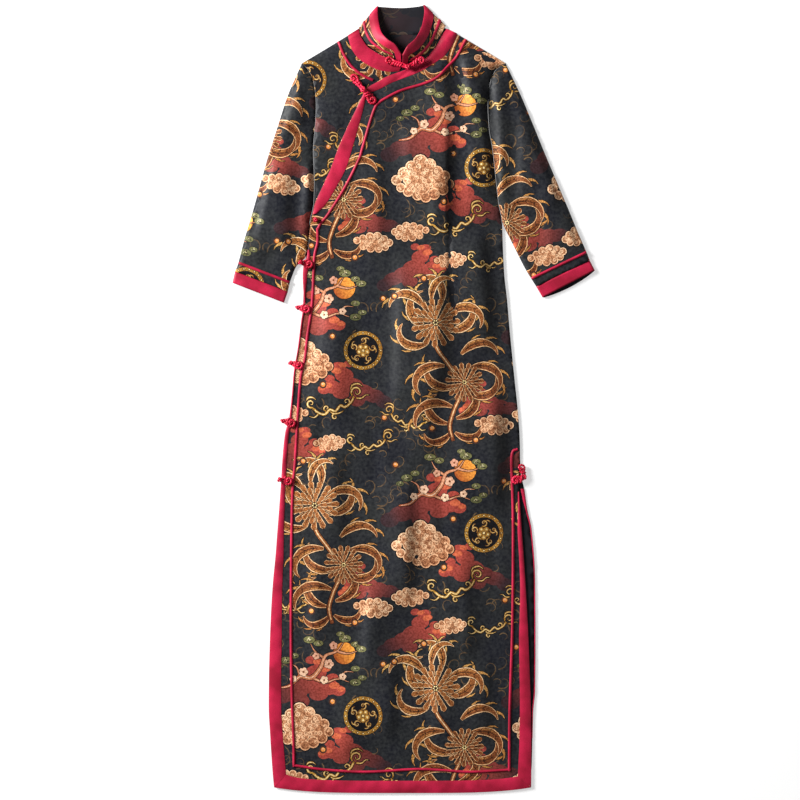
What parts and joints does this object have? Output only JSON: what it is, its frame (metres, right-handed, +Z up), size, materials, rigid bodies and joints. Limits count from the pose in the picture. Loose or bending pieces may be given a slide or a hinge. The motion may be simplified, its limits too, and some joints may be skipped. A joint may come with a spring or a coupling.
{
  "type": "qipao laid flat",
  "caption": "Long silk qipao laid flat: stand collar, diagonal frog-fastened opening, three-quarter sleeves, crimson satin bindings and a side slit.",
  "frame": {"origin": "bottom centre of the garment's box, on the surface that it lies on", "axes": "+X towards the wearer's left, +Y from the hem to the collar, +Z up, away from the surface"},
  "size_m": [0.6156, 1.3382, 0.0268],
  "materials": {
    "printed_silk": "charcoal silk-blend jacquard, printed in gold, tan, rust and olive, soft sheen",
    "crimson_satin": "crimson satin bias strip with a low gloss",
    "crimson_cord": "crimson satin cord, tightly rolled and knotted"
  },
  "bodies": {
    "root": {"back_panel": "printed_silk", "under_front": "printed_silk", "front_panel": "printed_silk", "sleeve_right": "printed_silk", "sleeve_left": "printed_silk", "collar": "printed_silk", "cuff_band_right": "crimson_satin", "cuff_band_left": "crimson_satin", "collar_binding_right": "crimson_satin", "collar_binding_left": "crimson_satin", "collar_piping_right": "crimson_satin", "collar_piping_left": "crimson_satin", "neck_band": "crimson_satin", "neck_piping": "crimson_satin", "opening_band": "crimson_satin", "side_band": "crimson_satin", "hem_band": "crimson_satin", "slit_band": "crimson_satin", "back_slit_band": "crimson_satin", "opening_piping": "crimson_satin", "side_piping": "crimson_satin", "hem_piping": "crimson_satin", "slit_piping": "crimson_satin", "cuff_piping_right": "crimson_satin", "cuff_piping_left": "crimson_satin", "frog_armpit_knot": "crimson_cord", "frog_collar_knot": "crimson_cord", "frog_collar_knot_coil": "crimson_cord", "frog_collar_loop": "crimson_cord", "frog_corner_knot": "crimson_cord", "frog_corner_knot_coil": "crimson_cord", "frog_corner_loop": "crimson_cord", "frog_side_1_knot": "crimson_cord", "frog_side_1_loop": "crimson_cord", "frog_side_2_knot": "crimson_cord", "frog_side_2_loop": "crimson_cord", "frog_side_3_knot": "crimson_cord", "frog_side_3_loop": "crimson_cord", "frog_side_4_knot": "crimson_cord", "frog_side_4_loop": "crimson_cord", "frog_side_5_knot": "crimson_cord", "frog_side_5_loop": "crimson_cord", "frog_slit_knot": "crimson_cord", "frog_slit_knot_coil": "crimson_cord", "frog_slit_loop": "crimson_cord"}
  },
  "joints": []
}
